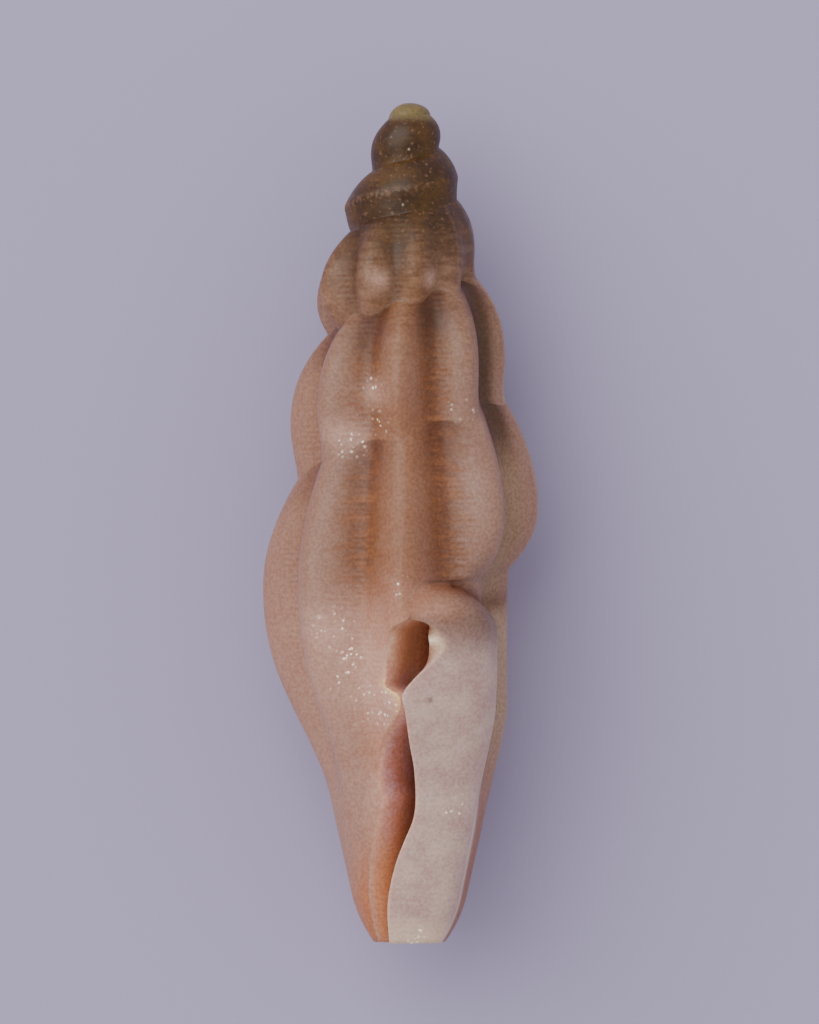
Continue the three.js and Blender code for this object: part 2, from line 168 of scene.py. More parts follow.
# Hollow behind the aperture; its roof is closed by rings that narrow to one point.
HOLLOW_TOP = 59.4
HOLLOW_FAR_TOP = 115
HOLLOW_FAR_END = 62
HOLLOW_FAR_ROUNDING = 45
HOLLOW_CORE = 0.36
HOLLOW_EDGE_ANGLE = 0.6
HOLLOW_WALL = 1.5
HOLLOW_ROOF_ANGLE = 50
HOLLOW_ROOF_SHARE = 0.62
HOLLOW_ROOF_RINGS = (0.3, 0.55, 0.75, 0.9)
HOLLOW_ROOF_WALL = 0.9
HOLLOW_CROWDING = 1.4
NOTCH_OPENING_LENGTH = 3
NOTCH_THICKNESS = 0.9
THINNING_ANGLES = (10, 60)
INNER_STEP = 0.1
NARROW_END_RADIUS = 7.5
WALL_TURN_NOTCH = 20
WALL_TURN_SLIT = 44
WALL_TURN_LENGTH = 5
LIP_GLOW_ANGLE = 20
WALL_GLOW_ANGLE = 40

# The rim of the notch curls over into the hollow.
RIM_CURL = 5.5
RIM_LIFT = 0.45
RIM_REACH = 0.10

# Spacing of the fine spiral threads.
THREAD_SPACING = 0.66

# Marks, painted shade and painted light on the surface: the stations over which they come in or go
# out.
STRIPE_END = (54, 64)
SPACE_END = (72, 86)
CAP_END = (1.5, 2.6)
FLANK_START = (57, 64)
LIP_BORDER_LIGHT_START = (66, 70)
SLIT_EDGE_START = (70, 74)
CANAL_START = (84, 97)

# Marks, painted shade and painted light on the surface: the turns over which they come in or go
# out.
SUTURE_SHADE_START = (0.6, RIB_GROWN)
SUTURE_SHADE_END = (3.4, 3.6)
CREST_HIGHLIGHT_START = (RIB_FIRST, 0.7)
CREST_HIGHLIGHT_END = 3.45
KEEL_LINE_START = (-0.5, -0.2)
KEEL_LINE_END = (0.4, 0.6)
LIP_WHITE_START = (LIP_START + 0.012, LIP_FULL - 0.03)
ARCH_SHADOW_START = (3.46, 3.54)
ARCH_SHADOW_END = (3.67, 3.745)
FLANK_FIRST = (3.42, 3.48)
FLANK_LAST = (LIP_START, LIP_FULL - 0.04)
LIP_SIDE_FROM = 3.6
INNER_SIDE_TURNS = 0.3
CANAL_LAST = 3.4

# Widths of the marks, painted shade and painted light, in hundredths of the length.
SUTURE_SHADE_REACH = (0.5, 7)
ARCH_SHADOW_WIDTH = 1.3
LIP_WHITE_RISE = (0.1, 1.5)
RIM_WIDTH = 0.45
SLIT_EDGE_WIDTH = 0.3
KNOB_EDGE_LIGHT_WIDTH = 0.6
CANAL_WIDTH = 3.2

# Widths of the marks and painted highlights, as shares: of a space, of a whorl and of the way into
# the hollow.
CREST_HIGHLIGHT_WIDTH = 0.09
KEEL_LINE_WIDTH = 0.07
RIM_DEPTH = 0.15

# Soft spots of painted sheen, darker spots and painted glints: sideways place, station, reach.
SHEENS = [
    (-5.5, 68.5, 5.0), (-9.2, 62.6, 2.6), (-7.5, 39.6, 1.9), (-4.8, 34.8, 1.8), (3.6, 21.3, 1.1),
    (-4.6, 21.4, 1.2),
]
DARK_SPOTS = [(3.7, 25.6, 1.5), (-1.3, 16.6, 1.5), (2.4, 12.6, 1.3)]
GLINTS = [
    (-9.0, 62.5, 1.9), (-6.8, 65.5, 1.5), (-4.6, 38.6, 1.6), (-5.0, 33.8, 1.1), (-1.2, 57.4, 1.0),
    (-3.4, 71.5, 2.2), (-7.0, 40.5, 1.6), (6.6, 36.8, 1.0), (5.2, 84.0, 1.2), (0.6, 99.0, 1.0),
    (-0.6, 6.3, 0.6), (-1.5, 11.6, 0.7), (-7.6, 68.5, 1.6),
]
LIP_SPECK = (2.4, 70.9, 0.32)
RIM_LIGHT = (2.3, 63.9, 0.5)
KNOB_CREST = (-1.8, 69.9, 2.2)
CALLUS = (KNOB_SIDE - 0.3, KNOB_STATION, 2.4)

# Patterns in the shell and in its painted glints: their scale in a hundredth of the length.
CLOUD_SCALE = 0.10
STREAK_SCALE = 0.55
STREAK_STRETCH = (0.6, 2.6, 0.6)
MOTTLE_SCALE = 0.35
EARLY_SPECK_SCALE = 2.2
BEAD_SCALE = 1.6
LIP_SPECK_SCALE = 1.7
SPARK_SCALE = 1.5
SPARK_PATCH_SCALE = 0.9
GRAIN_SCALE = 1.3
FINE_GRAIN_SCALE = 2.6

# How the shell takes light, and the strength of its painted glow: lengths in hundredths of the
# shell length.
SUBSURFACE = 0.4
SUBSURFACE_REACH = 2.2
SUBSURFACE_COLOURS = (1.0, 0.55, 0.35)
SPECULAR = 0.35
RELIEF_STRENGTH = 0.5
RELIEF_HEIGHT = 0.1
HOLLOW_GLOW = 0.20
SPARK_GLOW = 0.9

# Depth of the points that aren't in the hollow.
OUTSIDE = -1.0

# How finely the surface is divided, and how its rows crowd at the sutures.
COLUMNS = 256
WHORL_ROWS = 30
SEAM_ROWS = 6
INNER_ROWS = 60
CAP_RINGS = 10
HOLLOW_COLUMNS = 48
HOLLOW_ROWS = 80
ROW_CROWDING = 0.09
SLIT_ROWS_SHARE = 0.4
SHEAR_POWER = 4


def rgb(red, green, blue):
    """A colour given as it looks on screen, from 0 to 255."""
    def linear(value):
        value = value / 255
        return value / 12.92 if value < 0.04045 else ((value + 0.055) / 1.055) ** 2.4
    return (linear(red), linear(green), linear(blue), 1.0)


# Colours of the ribs, the spaces between them and the early whorls, with the painted glow, shade
# and highlight on them.
TAN = rgb(146, 98, 68)
PALE_TAN = rgb(154, 110, 84)
SIDE_TAN = rgb(160, 126, 110)
PINK = rgb(184, 111, 78)
CREAM = rgb(226, 184, 164)
PAINTED_GLOW = rgb(176, 118, 90)
STREAK_DARK = rgb(100, 54, 26)
STREAK_LIGHT = rgb(142, 88, 52)
DARK_BROWN = rgb(88, 46, 20)
UPPER_DARK = rgb(66, 38, 14)
UPPER_BROWN = rgb(116, 80, 50)
UPPER_TAN = rgb(138, 104, 76)
EARLY_DARK = rgb(56, 32, 2)
EARLY_BROWN = rgb(82, 54, 10)
CAP = rgb(120, 104, 62)
SHADE = rgb(82, 56, 34)
SHADE_LOW = rgb(160, 130, 104)
CREST_HIGHLIGHT = rgb(206, 160, 114)

# Colours of the lip, the canal and the hollow, with painted shadow, shade and light on them.
ARC_SHADOW = rgb(96, 44, 10)
FLANK = rgb(172, 146, 122)
FLANK_RED = rgb(154, 104, 80)
LIP_TOP = rgb(106, 82, 68)
LIP_PINK = rgb(192, 158, 148)
LIP_WHITE = rgb(206, 178, 164)
LIP_GREY = rgb(160, 132, 120)
LIP_BORDER_LIGHT = rgb(250, 224, 212)
LIP_END = rgb(226, 198, 172)
CANAL = rgb(192, 112, 58)
KNOB_EDGE_LIGHT = rgb(255, 206, 140)
RIM = rgb(204, 170, 140)
WALL_PURPLE = rgb(172, 126, 128)
WALL_RED = rgb(166, 104, 86)
WALL_ORANGE = rgb(184, 122, 84)
HOLE = rgb(196, 130, 94)
DEEP_SHADE = rgb(126, 66, 44)
DEEP_SHADE_ORANGE = rgb(150, 78, 36)

# Colours of the painted glints, the fine grain, the floor and the light of the room.
SPARK = rgb(255, 246, 226)
GRAIN_DARK = rgb(150, 146, 144)
GRAIN_LIGHT = rgb(216, 214, 214)
FLOOR = rgb(174, 165, 196)
ROOM = (0.96, 0.94, 1.0, 1.0)


def lerp(a, b, f):
    return a + (b - a) * f


def smooth(low, high, x):
    f = np.clip((np.asarray(x, float) - low) / (high - low), 0, 1)
    return f * f * (3 - 2 * f)


def band(distance, width):
    """1 on a line, falling to 0 beside it."""
    return np.exp(-((distance / width) ** 2))


def along(table, x):
    """A smooth curve through the points of a table."""
    xs = np.array([row[0] for row in table], float)
    ys = np.array([row[1] for row in table], float)
    chords = np.diff(ys) / np.diff(xs)
    slopes = np.concatenate([chords[:1], (chords[1:] + chords[:-1]) / 2, chords[-1:]])
    x = np.clip(np.asarray(x, float), xs[0], xs[-1])
    k = np.clip(np.searchsorted(xs, x) - 1, 0, len(xs) - 2)
    step = xs[k + 1] - xs[k]
    f = (x - xs[k]) / step
    start = (1 + 2 * f) * (1 - f) ** 2 * ys[k] + f * (1 - f) ** 2 * step * slopes[k]
    end = f * f * (3 - 2 * f) * ys[k + 1] - f * f * (1 - f) * step * slopes[k + 1]
    return start + end


def angle_of(t):
    """Angle round the axis in radians: 0 in front, positive to the right."""
    return -2 * np.pi * (np.asarray(t, float) + 0.25)


def scallop(t):
    """The suture hangs lower under each rib of the whorl above it."""
    above = np.cos(2 * np.pi * rib_count(t - 1))
    return SCALLOP * above * smooth(*SCALLOP_START, t) * (1 - smooth(*SCALLOP_END, t))


def suture(t):
    t = np.asarray(t, float)
    grown = SUTURE_SHIFT + SUTURE_SCALE * WHORL_GROWTH ** np.minimum(t, SUTURE_LATE_TURN)
    slope = SUTURE_SCALE * WHORL_GROWTH**SUTURE_LATE_TURN * math.log(WHORL_GROWTH)
    past = np.maximum(0, t - SUTURE_LATE_TURN)
    late = slope * SUTURE_LATE_LENGTH * (1 - np.exp(-past / SUTURE_LATE_LENGTH))
    before = np.maximum(0, SUTURE_EARLY_END - t) / SUTURE_EARLY_TURNS
    early = SUTURE_EARLY * np.sin(np.pi * before)
    return grown + late + early + scallop(t)


def whorl_top(t):
    """Upper edge of the whorl; on the first turn it is the rim of the apical cap."""
    t = np.asarray(t, float)
    opening = np.clip((t - T_FIRST) / CAP_OPENING, 0, 1) ** CAP_OPENING_POWER
    rim = lerp(suture(T_FIRST + 1), np.maximum(CAP_HEIGHT, suture(t)), opening)
    return np.where(t >= T_FIRST + 1, suture(t), rim)


def suture_radius(t):
    t = np.asarray(t, float)
    grown = SUTURE_RADIUS + SUTURE_WIDENING * t + SUTURE_FLARE * t * t
    drawn_in = smooth(GROOVE_DRAWN_FROM, T_SIDE_RIB, t) * (grown - GROOVE_SIDE_RADIUS)
    spaces = (between_ribs(t) + between_ribs(t - 1)) / 2 * smooth(*GROOVE_RIBS_START, t)
    return np.maximum(CAP_RADIUS, (grown - drawn_in) * (1 - GROOVE_RIBS * spaces))


def crest_radius(t):
    """Radius of the whorl at the crest of a rib."""
    t = np.asarray(t, float)
    grown = CREST_RADIUS + CREST_WIDENING * np.minimum(t, CREST_LAST)
    grown = grown + CREST_FLARE * np.minimum(t, 0) ** 2
    drawn_in = smooth(CREST_DRAWN_FROM, T_SIDE_RIB, t) * (grown - SIDE_RADIUS)
    deeper = BACK_FULLNESS * smooth(*BACK_FULLNESS_START, t) * (1 - np.cos(angle_of(t))) / 2
    flatter = RIGHT_FLATNESS * smooth(*RIGHT_FLATNESS_START, t) * (1 + np.sin(angle_of(t))) / 2
    leaning = smooth(*LEAN_START, t) * (1 - smooth(*LEAN_END, t))
    lean = SPIRE_LEAN * leaning * np.sin(angle_of(t))
    return grown - drawn_in + deeper - flatter - lean


def rib_count(t):
    """Count of ribs up to a turn; crests are at whole numbers."""
    t = np.asarray(t, float)

    def eased(turn):
        return turn + RIB_EASE * np.log(1 - np.exp(-turn / RIB_EASE))

    early = RIBS_PER_TURN * (eased(np.maximum(t, RIB_EARLIEST)) - eased(RIB_ZERO))
    late = 4 + np.interp(t, RIB_LATE_TURNS, range(len(RIB_LATE_TURNS)))
    return np.where(t > RIB_LATE, late, early)


def rib_depth(t, station):
    strength = lerp(RIB_EARLY_STRENGTH, 1, smooth(RIB_GROWN, 2 * RIB_GROWN, t))
    grown = smooth(RIB_FIRST, RIB_GROWN, t) * strength
    return RIB_DEPTH * grown * (1 - smooth(RIB_FADE_START, RIB_FADE_END, station))


def between_ribs(t):
    """0 on the crest of a rib, 1 in the middle of a space."""
    return (1 - np.cos(2 * np.pi * rib_count(t))) / 2


def ribbed(radius, t, station):
    return radius * (1 - rib_depth(t, station) * between_ribs(t))


def round_swelling(u):
    rise = np.sin(np.pi / 2 * np.clip(u / WIDEST, 0, 1)) ** RISE_FULLNESS
    return rise - np.clip((u - WIDEST) / (1 - WIDEST), 0, 1) ** FALL_POWER


def keeled_swelling(u):
    rise = np.minimum(u / KEEL, 1) ** KEEL_FULLNESS
    past = np.clip((u - KEEL) / (1 - KEEL), 0, 1)
    return rise - KEEL_SLOPE * past - (1 - KEEL_SLOPE) * past**KEEL_FALL_POWER


def neck_radius(station):
    straight = NECK_RADIUS - NECK_SLOPE * (station - NECK_STATION)
    past = np.maximum(0, station - CANAL_STATION) / (END_STATION - CANAL_STATION)
    return straight - CANAL_ROUNDING * past * past


def body_radius(t, station):
    """Radius of the last whorl, from its suture to the end of the canal."""
    crest = crest_radius(t)
    top = suture(t)
    peak = BODY_PEAK + BODY_PEAK_DRIFT * (t - 3)
    share = np.clip((station - top) / (peak - top), 0, 1)
    rise = np.sin(np.pi / 2 * share) ** RISE_FULLNESS
    upper = lerp(suture_radius(t), ribbed(crest, t, station), rise)
    fall = np.clip((station - peak) / (NECK_STATION - peak), 0, 1)
    full = lerp(neck_radius(station), crest, (1 + np.cos(np.pi * fall)) / 2)
    lower = ribbed(np.minimum(crest, full), t, station)
    return np.where(station < peak, upper, lower)


def knob(t, station):
    side = neck_radius(station) * np.sin(angle_of(t)) - KNOB_SIDE
    away = np.hypot(side, station - KNOB_STATION) / KNOB_RADIUS
    return np.where(t < T_BODY + KNOB_TURNS, KNOB_HEIGHT * np.exp(-away * away), 0)


def lip_radius(t, station):
    """A squared-off oval between the side of the lip and its front."""
    side = LIP_NARROWING * body_radius(T_SIDE_RIB, station)
    proud = LIP_PROUD * smooth(NOTCH_TOP, NOTCH_TOP + LIP_RISE_LENGTH, station)
    front = body_radius(T_BODY, station) + proud
    across = np.abs(np.sin(angle_of(t)) / side) ** LIP_SQUARENESS
    up = np.abs(np.cos(angle_of(t)) / front) ** LIP_SQUARENESS
    return (across + up) ** (-1 / LIP_SQUARENESS)


def late_suture_radius(t):
    fade = smooth(T_LIP - BLEND_TURNS, T_LIP, t)
    return lerp(suture_radius(t), body_radius(t - 1, suture(t)), fade)


def spire_radius(t, u):
    station = lerp(whorl_top(t), suture(t + 1), u)
    below = np.where(t + 1 > 3, late_suture_radius(t + 1), suture_radius(t + 1))
    keeled = smooth(*KEEL_START, t) * (1 - smooth(*KEEL_END, t))
    swelling = lerp(round_swelling(u), keeled_swelling(u), keeled)
    groove = lerp(suture_radius(t), below, u)
    whorl = lerp(groove, ribbed(crest_radius(t), t, station), swelling)
    return lerp(whorl, body_radius(t, station), smooth(T_BODY - BLEND_TURNS, T_BODY, t))


def lip_arch(t):
    """Station at which the lip starts to swell below the suture."""
    off = (360 * (T_LIP - t) - LIP_ARCH_ANGLE) / LIP_ARCH_WIDTH
    rounded = off * off / (1 + (off * off / LIP_ARCH_LIMIT) ** 3) ** (1 / 3)
    return suture(t) + LIP_ARCH_TOP + LIP_ARCH_DROP * rounded


def last_radius(t, station):
    """Outer radius of the last turn, lip included."""
    t = np.asarray(t, float)
    body = body_radius(t, station) + knob(t, station)
    capped = np.minimum(t, T_LIP)
    rise = np.clip((station - lip_arch(capped)) / LIP_SHOULDER, 0, 1)
    shoulder = np.sqrt(1 - (1 - rise) ** 2)
    lip = lerp(late_suture_radius(capped), lip_radius(t, station), shoulder)
    return lerp(body, lip, smooth(LIP_START, LIP_FULL, t))


def turn_of_edge(side, station, start):
    """Turn of an edge point that lies a given distance to the side, found step by step."""
    t = np.full(np.shape(station), float(start))
    for _ in range(12):
        reach = np.clip(side / last_radius(t, station), -0.99, 0.99)
        t = start - np.arcsin(reach) / (2 * np.pi)
    return t


class Sheet:
    """Points and faces of the shell, with what the material needs to know at each point."""

    def __init__(self):
        self.points = []
        self.facts = []
        self.faces = []

    def add(self, t, radius, station, depth=OUTSIDE):
        """Adds a column of points and gives their numbers; depth is 0 to 1 in the hollow."""
        t, radius, station, depth = np.broadcast_arrays(t, radius, station, depth)
        angle = angle_of(t)
        place = np.stack([
            UNIT * radius * np.sin(angle),
            SHELL_LENGTH / 2 - UNIT * station,
            np.maximum(0, UNIT * (AXIS_HEIGHT + radius * np.cos(angle))),
        ], axis=-1)
        first = len(self.points)
        self.points.extend(np.atleast_2d(place).tolist())
        facts = np.stack([t, station, depth], axis=-1)
        self.facts.extend(np.atleast_2d(facts).tolist())
        return list(range(first, len(self.points)))

    def face(self, *corners):
        kept = [c for k, c in enumerate(corners) if c != corners[k - 1]]
        if len(set(kept)) > 2:
            self.faces.append(kept)

    def strip(self, left, right):
        for i in range(min(len(left), len(right)) - 1):
            self.face(left[i], right[i], right[i + 1], left[i + 1])

    def zip(self, first, second):
        """Triangles between two lines of points that may differ in number."""
        at = self.points
        i = 0
        j = 0
        while i + 1 < len(first) or j + 1 < len(second):
            step_first = math.inf
            step_second = math.inf
            if i + 1 < len(first):
                step_first = math.dist(at[first[i + 1]], at[second[j]])
            if j + 1 < len(second):
                step_second = math.dist(at[first[i]], at[second[j + 1]])
            if step_first <= step_second:
                self.face(first[i], second[j], first[i + 1])
                i += 1
            else:
                self.face(first[i], second[j], second[j + 1])
                j += 1


def stations_below_seam(count):
    """Rows from the top of the notch to the end of the canal, closer together above the slit."""
    dense = round(count * SLIT_ROWS_SHARE)
    upper = lerp(NOTCH_TOP, SLIT_TOP, np.arange(1, dense + 1) / dense)
    lower = lerp(SLIT_TOP, END_STATION, np.arange(1, count - dense + 1) / (count - dense))
    return np.concatenate([upper, lower])


def whorl_shares():
    """Rows across a whorl, closer together at the sutures."""
    even = np.linspace(0, 1, WHORL_ROWS + 1)
    return even - ROW_CROWDING * np.sin(2 * np.pi * even)


def last_turn(sheet):
    """Columns from the inner lip round the back to the edge of the lip."""
    seam = np.linspace(float(suture(T_LIP)), NOTCH_TOP, SEAM_ROWS + 1)
    above = lerp(suture(T_BODY), suture(T_LIP), whorl_shares()[:-1])
    first = np.concatenate([above, seam, stations_below_seam(INNER_ROWS)])
    last = np.concatenate([seam, stations_below_seam(INNER_ROWS + WHORL_ROWS)])
    from_first = (first - suture(T_BODY)) / (END_STATION - suture(T_BODY))
    from_last = (last - suture(T_LIP)) / (END_STATION - suture(T_LIP))
    columns = {}
    for j in range(COLUMNS, -1, -1):
        share = j / COLUMNS
        even = T_BODY + share
        station = lerp(suture(even), END_STATION, lerp(from_first, from_last, share))
        inner = turn_of_edge(along(INNER_EDGE, station), station, T_BODY) - T_BODY
        outer = turn_of_edge(along(LIP_EDGE, station), station, T_LIP) - T_LIP
        sheared = inner * (1 - share) ** SHEAR_POWER + outer * share**SHEAR_POWER
        t = even + np.where(station > NOTCH_TOP, sheared, 0)
        radius = last_radius(t, station)
        radius[0] = late_suture_radius(even)
        columns[j] = sheet.add(t, radius, station)
    columns[0][WHORL_ROWS : WHORL_ROWS + SEAM_ROWS + 1] = columns[COLUMNS][: SEAM_ROWS + 1]
    return columns


def spire(sheet, last_columns):
    """Whorls above the last one; each hangs on the suture of the whorl below it."""
    count = round((T_BODY - T_FIRST) * COLUMNS)
    columns = {count + j: ids for j, ids in last_columns.items()}
    shares = whorl_shares()
    for j in range(count - 1, -1, -1):
        t = T_FIRST + j / COLUMNS
        below = columns[j + COLUMNS][0]
        if j == 0:
            columns[j] = [below] * (WHORL_ROWS + 1)
            continue
        rows = shares[:-1]
        station = lerp(whorl_top(t), suture(t + 1), rows)
        columns[j] = sheet.add(t, spire_radius(t, rows), station) + [below]
    for j in range(count):
        sheet.strip(columns[j][: WHORL_ROWS + 1], columns[j + 1][: WHORL_ROWS + 1])
    for j in range(count, count + COLUMNS):
        sheet.strip(columns[j], columns[j + 1])
    return columns


def apical_cap(sheet, columns):
    """A dome on the rim of the first whorl."""
    pole = sheet.add(T_FIRST, 0, 0)[0]
    lift = np.pi / 2 * np.arange(1, CAP_RINGS) / CAP_RINGS
    ribs = []
    for j in range(COLUMNS):
        t = T_FIRST + j / COLUMNS
        radius = suture_radius(t) * np.sin(lift)
        ids = sheet.add(t, radius, whorl_top(t) * (1 - np.cos(lift)))
        ribs.append([pole] + ids + [columns[j][0]])
    for j in range(COLUMNS):
        sheet.strip(ribs[j], ribs[(j + 1) % COLUMNS])


def in_notch(station):
    """1 along the rounded part of the notch, 0 above and below it."""
    return smooth(*NOTCH_ROUND_START, station) * (1 - smooth(*NOTCH_ROUND_END, station))


def hollow_loop(station):
    """From the edge of the lip along its under side, and back along the inner wall.

    Gives the turn, the radius and the depth (0 at an edge, 1 far inside) of each point.
    """
    opened = float(smooth(NOTCH_TOP, NOTCH_TOP + NOTCH_OPENING_LENGTH, station))
    lip_turn = float(turn_of_edge(along(LIP_EDGE, station), station, T_LIP))
    inner_turn = float(turn_of_edge(along(INNER_EDGE, station), station, T_BODY))
    lip_angle = 360 * (T_LIP - lip_turn)
    inner_angle = 360 * (T_BODY - inner_turn)
    narrow = min(1, float(last_radius(lip_turn, station)) / NARROW_END_RADIUS)
    thickness = lerp(NOTCH_THICKNESS, LIP_THICKNESS, opened) * narrow
    far = lerp(HOLLOW_FAR_TOP, HOLLOW_FAR_END, float(smooth(NOTCH_TOP, END_STATION, station)))
    core = HOLLOW_CORE * body_radius(T_BODY, station)
    slit = float(smooth(SLIT_TOP - WALL_TURN_LENGTH, SLIT_TOP, station))
    wall_turn = lerp(WALL_TURN_NOTCH, WALL_TURN_SLIT, slit)
    start = last_radius(inner_turn, station) - lerp(NOTCH_THICKNESS, INNER_STEP, opened)

    def outer_wall(angle):
        thin = smooth(*THINNING_ANGLES, angle - lip_angle)
        wall = lerp(thickness, min(HOLLOW_WALL, thickness), thin)
        return last_radius(T_LIP - angle / 360, station) - wall

    half = HOLLOW_COLUMNS // 2
    share = np.arange(half + 1) / half
    crowded = share**HOLLOW_CROWDING
    out_angle = lerp(lip_angle + HOLLOW_EDGE_ANGLE, far, crowded)
    back_angle = lerp(inner_angle + HOLLOW_EDGE_ANGLE, far, crowded[:-1])[::-1]
    inner = lerp(start, core, smooth(inner_angle, inner_angle + wall_turn, back_angle))
    rounding = smooth(far - HOLLOW_FAR_ROUNDING, far, back_angle)
    back_radius = lerp(inner, outer_wall(np.array(far)), rounding)
    curl = band(share, RIM_REACH) * float(in_notch(station))
    angle = np.concatenate([out_angle - RIM_CURL * curl, back_angle])
    radius = np.concatenate([outer_wall(out_angle) + RIM_LIFT * curl, back_radius])
    depth = np.concatenate([
        smooth(lip_angle, lip_angle + LIP_GLOW_ANGLE, out_angle),
        np.clip((back_angle - inner_angle) / WALL_GLOW_ANGLE, 0, 1),
    ])
    return T_LIP - angle / 360, radius, depth


def hollow(sheet, columns):
    """The hollow behind the aperture, and the edges that join it to the outside."""
    stations = np.concatenate([[NOTCH_TOP], stations_below_seam(HOLLOW_ROWS)])
    rows = []
    for number, station in enumerate(stations):
        t, radius, depth = hollow_loop(station)
        ids = sheet.add(t, radius, station, depth)
        if number == 0:
            ids[-1] = ids[0]
        rows.append(ids)
    t, radius, _ = hollow_loop(NOTCH_TOP)
    roof_turn = T_LIP - HOLLOW_ROOF_ANGLE / 360
    roof_radius = HOLLOW_ROOF_SHARE * float(body_radius(T_BODY, NOTCH_TOP))
    roof = [sheet.add(roof_turn, roof_radius, HOLLOW_TOP, 1.0) * len(t)]
    for lift in HOLLOW_ROOF_RINGS:
        station = lerp(HOLLOW_TOP, NOTCH_TOP, 1 - math.sqrt(1 - lift * lift))
        turn = lerp(roof_turn, t, lift)
        limit = last_radius(turn, station) - HOLLOW_ROOF_WALL
        inside = np.minimum(lerp(roof_radius, radius, lift), limit)
        ids = sheet.add(turn, inside, station, 1.0)
        ids[-1] = ids[0]
        roof.append(ids)
    every = roof + rows
    for k in range(HOLLOW_COLUMNS):
        sheet.strip([row[k] for row in every], [row[k + 1] for row in every])
    count = round((T_BODY - T_FIRST) * COLUMNS)
    inner = columns[count][WHORL_ROWS + SEAM_ROWS :]
    lip = columns[count + COLUMNS][SEAM_ROWS:]
    sheet.zip(lip, [row[0] for row in rows])
    sheet.zip([row[-1] for row in rows], inner)
    canal_end = [columns[count + j][-1] for j in range(COLUMNS + 1)]
    sheet.zip(rows[-1][::-1], canal_end)


def spot(across, station, place):
    """1 at a place given by side, station and reach, falling to 0 around it."""
    away = np.hypot(across - place[0], station - place[1]) / place[2]
    return np.exp(-away * away)


def spots(across, station, places):
    return np.clip(sum(spot(across, station, place) for place in places), 0, 1)


def rib_masks(t, station, outside):
    """The spaces between the ribs, painted shade below the sutures, a painted highlight on the
    crests and the keel of the last embryonic whorl.
    """
    spaces = between_ribs(t) * outside
    grown = smooth(RIB_FIRST, RIB_GROWN, t)
    below_suture = station - whorl_top(t)
    near_suture = 1 - smooth(*SUTURE_SHADE_REACH, below_suture)
    hanging = near_suture * smooth(*SUTURE_SHADE_START, t) * (1 - smooth(*SUTURE_SHADE_END, t))
    share = below_suture / (suture(t + 1) - whorl_top(t))
    keeled = smooth(*KEEL_LINE_START, t) * (1 - smooth(*KEEL_LINE_END, t))
    crested = smooth(*CREST_HIGHLIGHT_START, t) * (t < CREST_HIGHLIGHT_END)
    striped = (1 - smooth(*STRIPE_END, station)) * lerp(0.82, 1, near_suture)
    return {
        "stripe": spaces * grown * striped,
        "suture_shade": spaces**0.6 * hanging,
        "space": spaces * grown * (1 - smooth(*SPACE_END, station)),
        # Painted highlight along the rib crests.
        "crest": (1 - smooth(0, CREST_HIGHLIGHT_WIDTH, spaces)) * crested * outside,
        "keel": band(share - KEEL, KEEL_LINE_WIDTH) * keeled * outside,
        "cap": 1 - smooth(*CAP_END, station),
    }


def lip_masks(t, station, side, outside):
    """The white lip, the painted shadow in the groove above it, the painted highlight on its right
    border and its brown flank, partly painted shade.
    """
    above_arch = station - lip_arch(np.minimum(t, T_LIP))
    lip = smooth(*LIP_WHITE_START, t) * smooth(*LIP_WHITE_RISE, above_arch) * outside
    seam = (1 - smooth(NOTCH_TOP - 1.0, NOTCH_TOP + 0.8, station)) * smooth(3.66, T_LIP, t)
    lip = lip * (1 - seam)
    arch_ends = smooth(*ARCH_SHADOW_START, t) * (1 - smooth(*ARCH_SHADOW_END, t))
    flank_ends = smooth(*FLANK_FIRST, t) * (1 - smooth(*FLANK_LAST, t))
    return {
        "lip": lip,
        "lip_border_light": lip * smooth(0.72, 0.93, side) * smooth(*LIP_BORDER_LIGHT_START, station),
        "arch_shadow": arch_ends * band(above_arch + 0.1, ARCH_SHADOW_WIDTH) * outside,
        "flank": flank_ends * smooth(*FLANK_START, station) * outside,
    }


def aperture_masks(t, station, depth, across, inside):
    """The edges of the notch and the slit, with a painted highlight on the rim, the knob with
    painted light on its upper edge, and the end of the canal.
    """
    outside = 1 - inside
    last = (t > T_BODY - 0.01) * 1.0
    lip_side = last * (t > LIP_SIDE_FROM)
    inner_side = last * (t < T_BODY + INNER_SIDE_TURNS) * outside
    to_lip = np.abs(across - along(LIP_EDGE, station))
    to_inner = across - along(INNER_EDGE, station)
    rim = in_notch(station) * lip_side
    rim = rim * lerp(band(to_lip, RIM_WIDTH), 1 - smooth(0, RIM_DEPTH, depth), inside)
    slit_edge = band(to_lip, SLIT_EDGE_WIDTH) * smooth(*SLIT_EDGE_START, station)
    # Painted light along the knob's upper edge.
    knob_edge_light = band(to_inner, KNOB_EDGE_LIGHT_WIDTH) * spot(across, station, KNOB_CREST)
    canal = smooth(*CANAL_START, station) * (1 - smooth(0, CANAL_WIDTH, -to_inner))
    return {
        "rim": rim,
        "rim_light": rim * spot(across, station, RIM_LIGHT),
        "slit_edge": lip_side * slit_edge * outside,
        "speck": last * outside * spot(across, station, LIP_SPECK),
        "knob_edge_light": inner_side * knob_edge_light,
        "callus": inner_side * spot(across, station, CALLUS),
        "canal": canal * (t < CANAL_LAST) * outside,
    }


